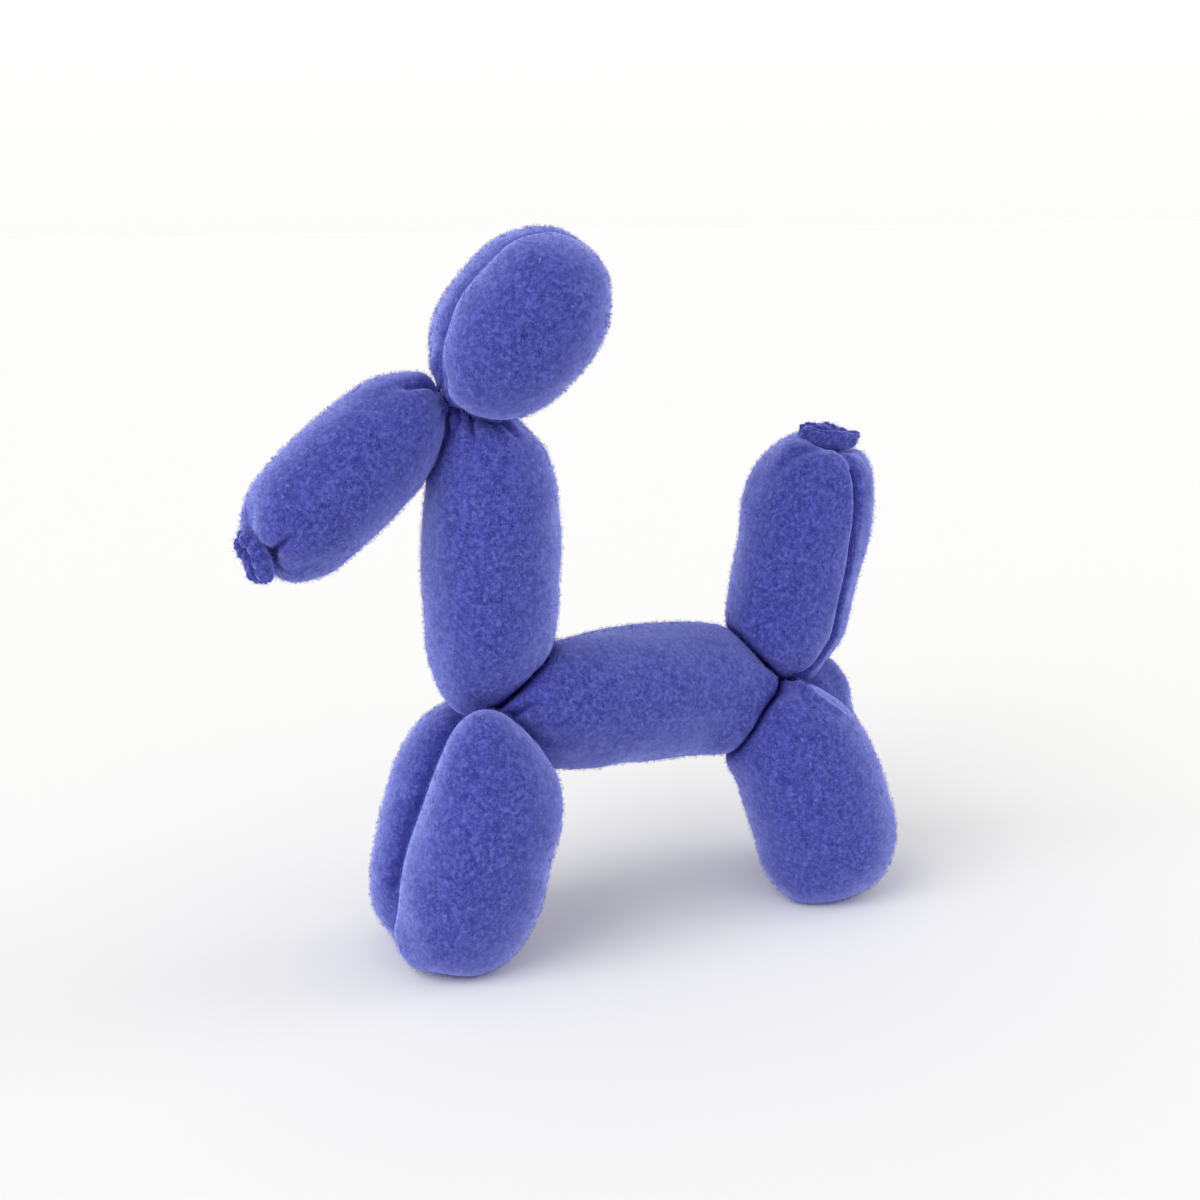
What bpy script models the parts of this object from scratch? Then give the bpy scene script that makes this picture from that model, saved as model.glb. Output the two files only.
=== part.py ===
"""Balloon dog of stuffed fleece, standing on its four feet.

One cloth tube is tied off into ten stuffed bubbles: snout, two ears, neck, two front legs,
body, two hind legs and tail. Its two open ends are gathered into ruffles. The dog faces -X,
its left side is at -Y, and its feet stand on the plane z = 0.
"""
import math
from dataclasses import dataclass

import bmesh
import bpy
import numpy as np

# The dog's height from its feet to the tips of its ears, in metres. Every other size below is
# written for a dog this many centimetres tall, and grows with it.
HEIGHT = 0.377
WRITTEN_HEIGHT = 37.7
CM = HEIGHT / WRITTEN_HEIGHT

# The faces around each shape, and from end to end.
SEGMENTS = 30
ROWS = 14
KNOT_SEGMENTS = 16
RUFFLE_SEGMENTS = 20
SMALL_ROWS = 10
OUTLINE_SAMPLES = 400

# The pleats that run out from a tie, and the pit that an end tie pulls into its bubble.
PLEATS = 6
PLEAT_DEPTH = 0.12
PLEAT_REACH = 1.5 * CM
PIT_DEPTH = 0.7 * CM
PIT_R = 1.1 * CM

# The gathered cloth inside each tie where four or five bubbles meet, as a ball.
KNOT_R = 2.1 * CM
KNOTS = {
    "head_knot": (-7.0, -0.6, 29.4),
    "front_knot": (-5.8, -0.7, 12.7),
    "rear_knot": (11.9, 1.3, 12.2),
}

# The flat spot that the dog's weight presses under each foot.
FOOT_SINK = 0.2 * CM
FLOOR_CUTTER = 60 * CM

# The ruffle of cloth outside each end tie.
RUFFLE_LONG_R = 1.65 * CM
RUFFLE_SHORT_R = 0.95 * CM
RUFFLE_HALF = 0.75 * CM
RUFFLE_RISE = 0.5 * CM
RUFFLE_LOBES = 5
RUFFLE_LOBE_DEPTH = 0.16
RUFFLE_FULLNESS = 0.7


@dataclass
class Bubble:
    """One stuffed length of the tube, in centimetres.

    middle and along place it, side is the direction of side_r, and front_r is the radius
    square to both. square is the exponent of its outline: 2 gives an ellipse, and more
    gives a sausage. widen is how much wider its far end is than its middle. ends lists the
    ends with pleats, -1 for the near one and 1 for the far one: the tips of the ears and
    legs have none, because the tube is folded over there and its tie is out of sight.
    """
    name: str
    middle: tuple
    along: tuple
    half: float
    side_r: float = 3.55
    front_r: float = 3.55
    square: float = 2.8
    widen: float = 0.0
    side: tuple = (0.0, 1.0, 0.0)
    ends: tuple = (-1, 1)


EAR_SIDE = (0.29, 0.95, 0.09)
FRONT_SIDE = (0.06, 0.99, 0.09)
HIND_SIDE = (0.41, 0.91, 0.0)

BUBBLES = (
    Bubble("snout", (-13.25, 0.1, 25.65), (-0.772, -0.013, -0.635), 6.5, 3.1, 3.1, 2.4, 0.03),
    Bubble("neck", (-6.0, -0.45, 20.7), (0.01, -0.02, 1.0), 8.2, 3.55, 3.55, 2.5, 0.015),
    Bubble("body", (2.45, 0.45, 12.5), (0.982, 0.165, -0.086), 9.35, 3.75, 3.7, 2.9, 0.04),
    Bubble("tail", (12.85, 1.2, 18.85), (0.26, 0.04, 0.965), 7.25, 3.5, 3.5, 3.1, 0.06),
    Bubble("left_ear", (-5.05, -3.25, 32.75), (0.578, -0.219, 0.786), 4.95, 3.35, 3.5, 2.25,
           0.055, EAR_SIDE, (-1,)),
    Bubble("right_ear", (-3.65, 1.75, 33.0), (0.588, -0.269, 0.763), 5.1, 3.3, 3.55, 2.3,
           0.0, EAR_SIDE, (-1,)),
    Bubble("left_front_leg", (-7.85, -3.45, 6.7), (-0.252, 0.063, -0.966), 6.85, 3.4, 3.65,
           2.75, 0.08, FRONT_SIDE, (-1,)),
    Bubble("right_front_leg", (-7.95, 1.65, 6.4), (-0.283, 0.02, -0.959), 6.65, 3.45, 3.75,
           2.8, 0.015, FRONT_SIDE, (-1,)),
    Bubble("left_hind_leg", (12.3, -1.95, 6.3), (0.302, -0.094, -0.949), 6.5, 3.35, 3.95, 2.95,
           0.03, HIND_SIDE, (-1,)),
    Bubble("right_hind_leg", (14.55, 3.3, 6.5), (0.196, -0.08, -0.977), 6.7, 3.4, 3.65, 2.8,
           0.01, HIND_SIDE, (-1,)),
)
LEGS = ("left_front_leg", "right_front_leg", "left_hind_leg", "right_hind_leg")

# The bubbles with a ruffle past their far end, and how far it is turned about their length.
RUFFLES = {"snout": math.radians(80), "tail": math.radians(67)}


def unit(vector):
    """The vector at length one."""
    vector = np.asarray(vector, dtype=float)
    return vector / np.linalg.norm(vector)


def axes(along, side):
    """Three directions square to each other: side, front and along."""
    along = unit(along)
    side = np.asarray(side, dtype=float)
    side = unit(side - along * (side @ along))
    return side, np.cross(along, side), along


def outline(square, long_over_wide):
    """A rounded outline r^square + t^square = 1, evenly spaced along its own length.

    Returns functions of a share from 0 at the end t = -1 to 1 at the end t = 1.
    """
    angle = np.linspace(0.0, math.pi, OUTLINE_SAMPLES)
    gauge = (np.sin(angle) ** square + np.abs(np.cos(angle)) ** square) ** (1.0 / square)
    r = np.sin(angle) / gauge
    t = -np.cos(angle) / gauge
    steps = np.hypot(np.diff(r), np.diff(t) * long_over_wide)
    length = np.concatenate(([0.0], np.cumsum(steps)))
    share = length / length[-1]
    return lambda at: np.interp(at, share, r), lambda at: np.interp(at, share, t)


def ball_mesh(name, shape, segments=SEGMENTS, rows=ROWS):
    """A unit sphere whose points are moved by shape(share, turn).

    share goes from 0 at one pole to 1 at the other, and turn is the angle around.
    """
    mesh = bpy.data.meshes.new(name)
    bm = bmesh.new()
    bmesh.ops.create_uvsphere(bm, u_segments=segments, v_segments=rows, radius=1.0)
    points = np.array([vertex.co for vertex in bm.verts], dtype=float)
    share = np.arccos(np.clip(-points[:, 2], -1.0, 1.0)) / math.pi
    turn = np.arctan2(points[:, 1], points[:, 0])
    for vertex, place in zip(bm.verts, shape(share, turn)):
        vertex.co = place
    bmesh.ops.recalc_face_normals(bm, faces=bm.faces)
    bm.to_mesh(mesh)
    bm.free()
    return mesh


def bubble_shape(bubble):
    """The surface of one stuffed bubble as a function for ball_mesh."""
    side, front, along = axes(bubble.along, bubble.side)
    middle = np.array(bubble.middle) * CM
    half = bubble.half * CM
    side_r = bubble.side_r * CM
    front_r = bubble.front_r * CM
    mean_r = (side_r + front_r) / 2
    radius, height = outline(bubble.square, half / mean_r)

    def shape(share, turn):
        r = radius(share)
        t = height(share)
        wide = r * (1 + bubble.widen * t)
        level = t * half
        for end in bubble.ends:
            from_end = half * (1 - end * t)
            pleat = 0.5 - 0.5 * np.cos(PLEATS * turn)
            wide = wide * (1 - PLEAT_DEPTH * pleat * np.exp(-(from_end / PLEAT_REACH) ** 2))
        if bubble.name in RUFFLES:
            level = level - PIT_DEPTH * np.exp(-(r * mean_r / PIT_R) ** 2) * (t > 0)
        return (middle
                + np.outer(side_r * wide * np.cos(turn), side)
                + np.outer(front_r * wide * np.sin(turn), front)
                + np.outer(level, along))

    return shape


def knot_shape(middle):
    """The ball of gathered cloth where bubbles meet."""
    middle = np.array(middle) * CM

    def shape(share, turn):
        polar = share * math.pi
        return middle + KNOT_R * np.stack([np.sin(polar) * np.cos(turn),
                                           np.sin(polar) * np.sin(turn),
                                           -np.cos(polar)], axis=1)

    return shape


def ruffle_shape(bubble, turned):
    """The gathered end of the tube: a flat, lobed tuft past the bubble's far end."""
    side, front, along = axes(bubble.along, bubble.side)
    across = math.cos(turned) * side + math.sin(turned) * front
    thick = np.cross(along, across)
    middle = np.array(bubble.middle) * CM + along * (bubble.half * CM - PIT_DEPTH + RUFFLE_RISE)

    def shape(share, turn):
        polar = share * math.pi
        lobes = 1 - RUFFLE_LOBE_DEPTH * (0.5 + 0.5 * np.cos(RUFFLE_LOBES * turn)) * np.sin(polar)
        wide = np.sin(polar) ** RUFFLE_FULLNESS * lobes
        return (middle
                + np.outer(RUFFLE_LONG_R * wide * np.cos(turn), across)
                + np.outer(RUFFLE_SHORT_R * wide * np.sin(turn), thick)
                + np.outer(-RUFFLE_HALF * np.cos(polar), along))

    return shape


def mesh_points(mesh):
    """The mesh's points as an array."""
    points = np.empty(len(mesh.vertices) * 3)
    mesh.vertices.foreach_get("co", points)
    return points.reshape(-1, 3)


def move_mesh(mesh, shift):
    """Moves every point of the mesh."""
    mesh.vertices.foreach_set("co", (mesh_points(mesh) + shift).ravel())
    mesh.update()


def tube_meshes():
    """Every closed piece of the form, before they are fused."""
    meshes = {}
    for bubble in BUBBLES:
        mesh = ball_mesh(bubble.name, bubble_shape(bubble))
        if bubble.name in LEGS:
            lowest = mesh_points(mesh)[:, 2].min()
            move_mesh(mesh, (0.0, 0.0, -FOOT_SINK - lowest))
        meshes[bubble.name] = mesh
        if bubble.name in RUFFLES:
            shape = ruffle_shape(bubble, RUFFLES[bubble.name])
            name = bubble.name + "_ruffle"
            meshes[name] = ball_mesh(name, shape, RUFFLE_SEGMENTS, SMALL_ROWS)
    for name, middle in KNOTS.items():
        meshes[name] = ball_mesh(name, knot_shape(middle), KNOT_SEGMENTS, SMALL_ROWS)
    return meshes


def centre_over_origin(meshes):
    """Puts the middle of the form's length and width over the origin."""
    points = np.concatenate([mesh_points(mesh) for mesh in meshes.values()])
    middle = (points.min(axis=0) + points.max(axis=0)) / 2
    for mesh in meshes.values():
        move_mesh(mesh, (-middle[0], -middle[1], 0.0))


def hide_operand(item):
    """Leaves a Boolean's operand out of the build."""
    item.hide_render = True
    item.display_type = "WIRE"


def floor_cutter():
    """A block under the plane z = 0."""
    mesh = bpy.data.meshes.new("floor_cutter")
    bm = bmesh.new()
    bmesh.ops.create_cube(bm, size=FLOOR_CUTTER)
    bmesh.ops.translate(bm, verts=bm.verts, vec=(0.0, 0.0, -FLOOR_CUTTER / 2))
    bm.to_mesh(mesh)
    bm.free()
    item = bpy.data.objects.new("floor_cutter", mesh)
    hide_operand(item)
    bpy.context.scene.collection.objects.link(item)
    return item


def fleece():
    """Matt violet-blue fleece."""
    material = bpy.data.materials.new("violet_blue_fleece")
    material.use_nodes = True
    shader = material.node_tree.nodes["Principled BSDF"]
    shader.inputs["Base Color"].default_value = (0.085, 0.094, 0.42, 1.0)
    shader.inputs["Roughness"].default_value = 0.95
    shader.inputs["Metallic"].default_value = 0.0
    return material


def add_boolean(item, name, operation):
    """A Boolean on item that keeps the exact solver."""
    modifier = item.modifiers.new(name, "BOOLEAN")
    modifier.operation = operation
    modifier.solver = "EXACT"
    return modifier


def balloon_dog():
    """The whole stuffed tube as one fused solid."""
    meshes = tube_meshes()
    centre_over_origin(meshes)
    base = meshes.pop("body")
    dog = bpy.data.objects.new("balloon_dog", base)
    bpy.context.scene.collection.objects.link(dog)
    others = bpy.data.collections.new("fused_into_the_body")
    bpy.context.scene.collection.children.link(others)
    for name, mesh in meshes.items():
        item = bpy.data.objects.new(name, mesh)
        hide_operand(item)
        others.objects.link(item)
    fuse = add_boolean(dog, "fuse", "UNION")
    fuse.operand_type = "COLLECTION"
    fuse.collection = others
    flatten = add_boolean(dog, "flatten_feet", "DIFFERENCE")
    flatten.object = floor_cutter()
    base.materials.append(fleece())
    base.shade_smooth()
    return dog


for leftover in list(bpy.data.objects):
    bpy.data.objects.remove(leftover, do_unlink=True)

balloon_dog()
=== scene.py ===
# %% [markdown]
# # A balloon dog sewn from fleece
# The real object is one tube of violet-blue fleece, stuffed and tied off into ten bubbles, as a
# balloon modeller twists a dog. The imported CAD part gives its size, pose and outline. This
# script loads it as a fixed frame, takes the bubbles' places and sizes from the same numbers,
# and builds the cloth on them: the ends drawn in to the ties, the creases where bubbles press
# on each other, the pleats, the gathered frills and the nap.

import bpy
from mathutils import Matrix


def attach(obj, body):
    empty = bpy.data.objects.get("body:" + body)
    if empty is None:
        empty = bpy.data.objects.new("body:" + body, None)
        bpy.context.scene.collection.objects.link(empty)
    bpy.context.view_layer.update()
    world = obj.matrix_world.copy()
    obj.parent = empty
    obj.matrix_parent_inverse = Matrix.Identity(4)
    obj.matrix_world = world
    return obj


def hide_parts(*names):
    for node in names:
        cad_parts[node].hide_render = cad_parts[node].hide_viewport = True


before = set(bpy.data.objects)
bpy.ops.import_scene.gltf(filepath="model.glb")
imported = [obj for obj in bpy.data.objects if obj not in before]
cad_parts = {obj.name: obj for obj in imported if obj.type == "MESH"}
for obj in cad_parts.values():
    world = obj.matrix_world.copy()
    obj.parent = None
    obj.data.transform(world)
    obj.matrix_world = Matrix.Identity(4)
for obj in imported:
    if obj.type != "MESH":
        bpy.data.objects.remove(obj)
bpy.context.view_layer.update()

# %% Modules and units
import math

import bpy
import numpy as np
from mathutils import Matrix

CM = 0.01                # shapes are worked out in centimetres and stored in metres
SHORTEST = 1e-12         # stands in for a length of nought
random = np.random.default_rng(7)


def length(vectors):
    """The length of each vector."""
    return np.linalg.norm(vectors, axis=-1)


def unit(vectors):
    """Each vector divided by its own length."""
    return vectors / np.maximum(length(vectors), SHORTEST)[..., None]


def bell(distance):
    """One at nought, falling away on both sides: exp(-distance^2)."""
    return np.exp(-distance ** 2)


def link(name, data):
    """A new object with that data, in the scene."""
    item = bpy.data.objects.new(name, data)
    bpy.context.scene.collection.objects.link(item)
    return item


def turn_to(item, axes, place=(0.0, 0.0, 0.0)):
    """Gives an object its three axes, and its place in metres."""
    matrix = np.eye(4)
    matrix[:3, :3] = np.stack(axes, axis=1)
    matrix[:3, 3] = place
    item.matrix_world = Matrix(matrix)


# %% [markdown]
# ## Camera
# The photograph is taken from the dog's left, a little in front and just above its back, with
# a longish lens. The camera has that place, direction and slight roll.

# %% Place the camera
CAMERA_AT = np.array([-35.39, -84.87, 38.47])
CAMERA_LOOKS = np.array([0.3815, 0.8987, -0.2164])
CAMERA_ROLL = math.radians(-0.58)


def camera_axes():
    """Right, up and backward directions of the picture: level ones, turned by the roll."""
    looks = unit(CAMERA_LOOKS)
    level = unit(np.cross(looks, (0.0, 0.0, 1.0)))
    rise = np.cross(level, looks)
    right = level * math.cos(CAMERA_ROLL) + rise * math.sin(CAMERA_ROLL)
    return right, np.cross(right, looks), -looks


camera_data = bpy.data.cameras.new("photo_camera")
camera_data.lens = 53.1
camera_data.sensor_width = 36.0
camera = link("photo_camera", camera_data)
turn_to(camera, camera_axes(), CAMERA_AT * CM)
bpy.context.scene.camera = camera

# %% [markdown]
# ## Shader maths
# A material or a sky is a tree of nodes, hard to read when it is written link by link. So a
# small class wraps one socket: arithmetic on it adds Math nodes, and a method adds any other.

# %% A small language for shader maths


class Signal:
    """One output socket. Arithmetic on it adds Math nodes to its tree."""

    def __init__(self, tree, socket):
        self.tree = tree
        self.socket = socket

    def node(self, kind, settings=(), values=(), output=0):
        """Adds a node, sets its settings, then its sockets' values or links."""
        made = self.tree.nodes.new(kind)
        for key, value in dict(settings).items():
            setattr(made, key, value)
        for key, value in dict(values).items():
            if isinstance(value, Signal):
                value.into(made.inputs[key])
            else:
                made.inputs[key].default_value = value
        return Signal(self.tree, made.outputs[output])

    def into(self, socket):
        """Links the signal to an input socket."""
        self.tree.links.new(self.socket, socket)

    def maths(self, operation, *values):
        """A Math node of the operation on up to three numbers or signals."""
        return self.node("ShaderNodeMath", {"operation": operation}, dict(enumerate(values)))

    def __add__(self, other):
        return self.maths("ADD", self, other)

    def __sub__(self, other):
        return self.maths("SUBTRACT", self, other)

    def __rsub__(self, other):
        return self.maths("SUBTRACT", other, self)

    def __rtruediv__(self, other):
        return self.maths("DIVIDE", other, self)

    def __mul__(self, other):
        return self.maths("MULTIPLY", self, other)

    __radd__ = __add__
    __rmul__ = __mul__

    def held(self):
        """The signal kept between zero and one."""
        return self.node("ShaderNodeClamp", (), {"Value": self})


def blend(signal, low, high):
    """A colour from low to high by the signal."""
    return signal.node("ShaderNodeMix", {"data_type": "RGBA"}, {0: signal, 6: low, 7: high}, 2)


# %% [markdown]
# ## Floor, background and light
# The dog stands on a white board in a bright room, with soft window light from the left. The
# sky is nearly white at the horizon, has a brighter ring of windows above that, and is dimmer
# overhead. Two suns with very wide discs are the nearest window and a weaker one on the right.
# The strengths were set by trial, so that far floor and low sky are nearly the same white.

# %% Make the floor, the sky and the windows
FLOOR_HALF = 30.0
FLOOR = {"Base Color": (0.90, 0.90, 0.90, 1.0), "Roughness": 0.9}
SKY_COLOUR = (1.0, 0.995, 0.98, 1.0)
SKY_AT_HORIZON = 0.958
SKY_OVERHEAD = 0.50
SKY_IN_WINDOWS = 0.55
HORIZON_BAND = (0.0, 0.30)       # middle and half-width, as sines of the elevation
WINDOW_BAND = (0.36, 0.17)
WINDOWS = [("near_window", (-0.86, -0.34, 0.74), 1.50, 50),       # from where, strength, degrees
           ("far_window", (0.88, -0.12, 0.46), 0.55, 40)]


def new_material(name, constants):
    """A new material, and its shader with those constants."""
    made = bpy.data.materials.new(name)
    made.use_nodes = True
    shader = made.node_tree.nodes["Principled BSDF"]
    for key, value in constants.items():
        shader.inputs[key].default_value = value
    return made, shader


floor_mesh = bpy.data.meshes.new("floor")
corners = FLOOR_HALF * np.array([(-1, -1, 0), (1, -1, 0), (1, 1, 0), (-1, 1, 0)])
floor_mesh.from_pydata(corners, [], [(0, 1, 2, 3)])
floor_mesh.materials.append(new_material("white_board", FLOOR)[0])
floor = link("floor", floor_mesh)

sky = bpy.data.worlds.new("white_room")
sky.use_nodes = True
background = sky.node_tree.nodes["Background"]
background.inputs["Color"].default_value = SKY_COLOUR
start = Signal(sky.node_tree, None)
heading = start.node("ShaderNodeTexCoord", output="Generated")
rise = start.node("ShaderNodeSeparateXYZ", (), {"Vector": heading}, "Z")


def band(middle, half):
    """One near the middle height and nought away from it: 1 / (1 + ((rise - m)/h)^4)."""
    apart = (rise - middle) * (1 / half)
    return 1 / (1 + apart * apart * apart * apart)


strength = (SKY_OVERHEAD + (SKY_AT_HORIZON - SKY_OVERHEAD) * band(*HORIZON_BAND)
            + SKY_IN_WINDOWS * band(*WINDOW_BAND))
strength.into(background.inputs["Strength"])
bpy.context.scene.world = sky

for name, come_from, energy, width in WINDOWS:
    window_data = bpy.data.lights.new(name, "SUN")
    window_data.energy = energy
    window_data.angle = math.radians(width)
    backward = unit(come_from)
    rightward = unit(np.cross((0.0, 0.0, 1.0), backward))
    turn_to(link(name, window_data), (rightward, np.cross(backward, rightward), backward))
bpy.context.scene.view_settings.view_transform = "Standard"

# %% [markdown]
# ## Bubbles as numbers
# A stuffed bubble is a sausage with a superellipse for its outline. In its own directions,
# with each coordinate divided by its radius, its surface is where the gauge
# (across^n + lengthwise^n)^(1/n) is one. The gauge also tells how deep a point is inside,
# which is how the cloth finds where two bubbles press on each other. Middles, directions,
# lengths, radii and exponents are those of the CAD solids. Cones, tapers, bends and swells
# are the cloth's own.

# %% The table of bubbles
CENTRING = np.array([0.384, 0.013, 0.0])     # puts the middle of the box over the origin
FOOT_SINK = 0.2          # how much of a foot is pressed flat
CONE_START = 0.72        # radius of a cone's root, as a share of the bubble's
CONE_BLEND = 0.1
BELL_ENDS = 2.5          # widths away from its line where a swell is left out

# An end of a bubble: the radius of its cone's tip, how far that goes past the tie, how strongly
# and how far the tie draws the cloth in, and how far its pleats reach.
JOINED_END = (0.62, 0.20, 0.10, 1.1, 3.6)
LOOSE_END = (0.7, 0.0, 0.25, 1.15, 1.9)


def axes(along, side):
    """Three directions square to each other: side, front and along."""
    along = unit(along)
    side = unit(side - along * (side @ along))
    return side, np.cross(along, side), along


def superellipse(flat, power):
    """(across^n + lengthwise^n)^(1/n): below one inside, one on the surface."""
    across = np.hypot(flat[..., 0], flat[..., 1])
    return (across ** power + np.abs(flat[..., 2]) ** power) ** (1 / power)


class Bubble:
    """One stuffed length of the tube, in centimetres.

    tie is the point its near end is drawn in to. far_tie is the same for its far end, or
    None where the tube is folded over and the end is smooth.
    """

    def __init__(self, middle, along, half, radii, square, tie, far_tie=None, widen=0.0,
                 side=(0.0, 1.0, 0.0), far_end=JOINED_END, pointed=0.0,
                 lean=(0.0, 0.0, 0.0)):
        self.middle = np.array(middle) + CENTRING
        self.frame = np.stack(axes(along, side))
        self.size = np.array([radii[0], radii[1], half])
        self.square = square
        self.widen = widen
        self.pointed = pointed
        self.lean = np.array(lean)
        self.ties = [np.array(end) + CENTRING for end in (tie, far_tie) if end is not None]
        self.ends = (JOINED_END, far_end)
        self.swells = []

    def scaled(self, points):
        """Points in the bubble's own directions, each coordinate over its radius.

        A bubble with a lean is bent: its near half is moved by lean times the level cubed.
        """
        level = np.clip((self.middle - points) @ self.frame[2] / self.size[2], 0, 1.2)
        straight = points - self.middle - level[..., None] ** 3 * self.lean
        flat = straight @ self.frame.T / self.size
        flat[..., :2] /= 1 + self.widen * np.clip(flat[..., 2:], -1, 1)
        return flat

    def sausage(self, points):
        """The superellipse, whose n falls by up to pointed towards a near end that tapers."""
        flat = self.scaled(points)
        power = self.square - self.pointed * np.clip(0.5 - flat[..., 2] / 2, 0, 1)
        return superellipse(flat, power)

    def gauge(self, points):
        """The sausage and the cones to its ties as one: a smooth minimum of their gauges.

        A cone's gauge is the distance from its line over the cone's radius there. The smooth
        minimum of a and b is half of a + b - sqrt((a - b)^2 + blend^2). A swell takes its
        height over the radius, times exp(-(distance/width)^2), off the gauge.
        """
        best = self.sausage(points)
        for tie, (tip, past, *_) in zip(self.ties, self.ends):
            root = self.spine(tie)
            line = tie + past * unit(tie - root) - root
            along = np.clip((points - root) @ line / (line @ line), 0, 1)
            radius = CONE_START * self.size[:2].mean() * (1 - along) + tip * along
            cone = length(points - root - along[..., None] * line) / radius
            best = (best + cone - np.sqrt((best - cone) ** 2 + CONE_BLEND ** 2)) / 2
        for line, width, height in self.swells:
            reach = np.ptp(line, axis=0).sum() / 2 + BELL_ENDS * width
            close = length(points - line.mean(axis=0)) < reach
            away = line_distance(points[close], line, self.outwards(points[close]))[0]
            best[close] -= height / self.size[0] * bell(away / width)
        return best

    def outwards(self, points):
        """The unit direction from the core line to each point."""
        return unit(points - self.spine(points))

    def surface(self, flat):
        """The sausage's surface point in each scaled direction: the direction over its gauge."""
        flat = flat / superellipse(flat, self.square)[..., None]
        flat[..., :2] *= 1 + self.widen * flat[..., 2:]
        return self.middle + (flat * self.size) @ self.frame

    def spine(self, points):
        """The nearest point of the core line, which stops a radius short of the ends."""
        core = max(0.0, self.size[2] - self.size[:2].mean())
        level = np.clip((points - self.middle) @ self.frame[2], -core, core)
        return self.middle + level[..., None] * self.frame[2]


HEAD_TIE = (-7.95, -0.35, 29.1)
FRONT_TIE = (-5.6, -0.70, 12.92)
REAR_TIE = (12.25, 1.15, 12.3)
NOSE_TIE = (-17.53, -0.45, 21.98)
TAIL_TIE = (14.65, 0.84, 25.33)
EAR_SIDE = (0.29, 0.95, 0.09)
FRONT_SIDE = (0.06, 0.99, 0.09)
HIND_SIDE = (0.41, 0.91, 0.0)

BUBBLES = {
    "snout": Bubble((-13.25, 0.1, 25.65), (-0.772, -0.013, -0.635), 6.5, (3.1, 3.1), 2.4,
                    HEAD_TIE, NOSE_TIE, 0.03, far_end=LOOSE_END),
    "neck": Bubble((-6.0, -0.45, 20.7), (0.01, -0.02, 1.0), 8.2, (3.55, 3.55), 2.5,
                   FRONT_TIE, HEAD_TIE, 0.015),
    "body": Bubble((2.45, 0.45, 12.5), (0.982, 0.165, -0.086), 9.35, (3.75, 3.7), 2.9,
                   FRONT_TIE, REAR_TIE, 0.04),
    "tail": Bubble((12.85, 1.2, 18.85), (0.26, 0.04, 0.965), 7.25, (3.5, 3.5), 3.1,
                   REAR_TIE, TAIL_TIE, 0.06, far_end=LOOSE_END),
    "left_ear": Bubble((-5.05, -3.25, 32.75), (0.578, -0.219, 0.786), 4.95, (3.35, 3.5), 2.25,
                       HEAD_TIE, widen=0.055, side=EAR_SIDE),
    "right_ear": Bubble((-3.65, 1.75, 33.0), (0.588, -0.269, 0.763), 5.1, (3.3, 3.55), 2.3,
                        HEAD_TIE, side=EAR_SIDE),
    "left_front_leg": Bubble((-7.85, -3.45, 6.7), (-0.252, 0.063, -0.966), 6.85, (3.4, 3.65),
                             2.75, FRONT_TIE, widen=0.08, side=FRONT_SIDE, pointed=0.58,
                             lean=(-0.95, 0.40, 0.55)),
    "right_front_leg": Bubble((-7.95, 1.65, 6.4), (-0.283, 0.02, -0.959), 6.65, (3.45, 3.75),
                              2.8, FRONT_TIE, widen=0.015, side=FRONT_SIDE, pointed=0.35),
    "left_hind_leg": Bubble((12.3, -1.95, 6.3), (0.302, -0.094, -0.949), 6.5, (3.35, 3.95),
                            2.95, REAR_TIE, widen=0.03, side=HIND_SIDE, pointed=0.60,
                            lean=(-0.95, 0.42, 0.40)),
    "right_hind_leg": Bubble((14.55, 3.3, 6.5), (0.196, -0.08, -0.977), 6.7, (3.4, 3.65),
                             2.8, REAR_TIE, widen=0.01, side=HIND_SIDE, pointed=0.50),
}

# %% [markdown]
# ## A grid over each bubble
# Cloth that is drawn in to a tie fans out from it, so the grid has its poles at the ties, also
# where those lie off the middle line. The rule for how directions crowd towards a moving
# observer puts them there. It keeps every angle, so the grid's cells stay square.

# %% Lay out the grid directions
ROWS, COLUMNS = 120, 150
TURNS = np.linspace(0, math.tau, COLUMNS, endpoint=False)
TRIAL_ROWS, TRIAL_TURNS = 400, 16
FACING = np.array([0.0, -1.0, 0.0])      # column zero is the one nearest this side
TINY = 1e-6


def crowd(directions, towards, amount):
    """Moves unit directions towards one of them: (s/g + b + (g/(1+g))(b.s)b) / (1 + b.s)."""
    if amount < TINY:
        return directions
    shift = towards * amount
    grow = 1 / math.sqrt(1 - amount ** 2)
    part = directions @ shift
    moved = directions / grow + shift + (grow / (1 + grow)) * part[..., None] * shift
    return moved / (1 + part)[..., None]


def grid_directions(bubble, polar, turns):
    """Scaled directions with their poles at the bubble's ties, as a polar by turns grid."""
    poles = [unit(bubble.scaled(tie[None]))[0] for tie in bubble.ties]
    near, far = (poles + [np.array([0.0, 0.0, 1.0])])[:2]
    between = near + far
    amount = length(between) / 2
    axis = unit(near - far)
    first = bubble.frame @ FACING
    first = unit(first - axis * (first @ axis))
    second = np.cross(axis, first)
    rim = np.cos(turns)[:, None] * first + np.sin(turns)[:, None] * second
    grid = np.cos(polar)[:, None, None] * axis + np.sin(polar)[:, None, None] * rim
    return crowd(grid, unit(between), amount)


def run_of(steps):
    """How far each point of a line is from its start, given the steps between them."""
    return np.concatenate(([0.0], np.cumsum(steps)))


def evenly(values, steps, count):
    """What the values are at count places the same distance apart along a line."""
    run = run_of(steps)
    return np.interp(np.linspace(0, run[-1], count), run, values)


def even_rows(bubble):
    """Polar angles whose rows lie the same real distance apart along the bubble."""
    polar = np.linspace(0, math.pi, TRIAL_ROWS)
    around = np.linspace(0, math.tau, TRIAL_TURNS, endpoint=False)
    points = bubble.surface(grid_directions(bubble, polar, around))
    return evenly(polar, length(np.diff(points, axis=0)).mean(axis=1), ROWS)


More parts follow.
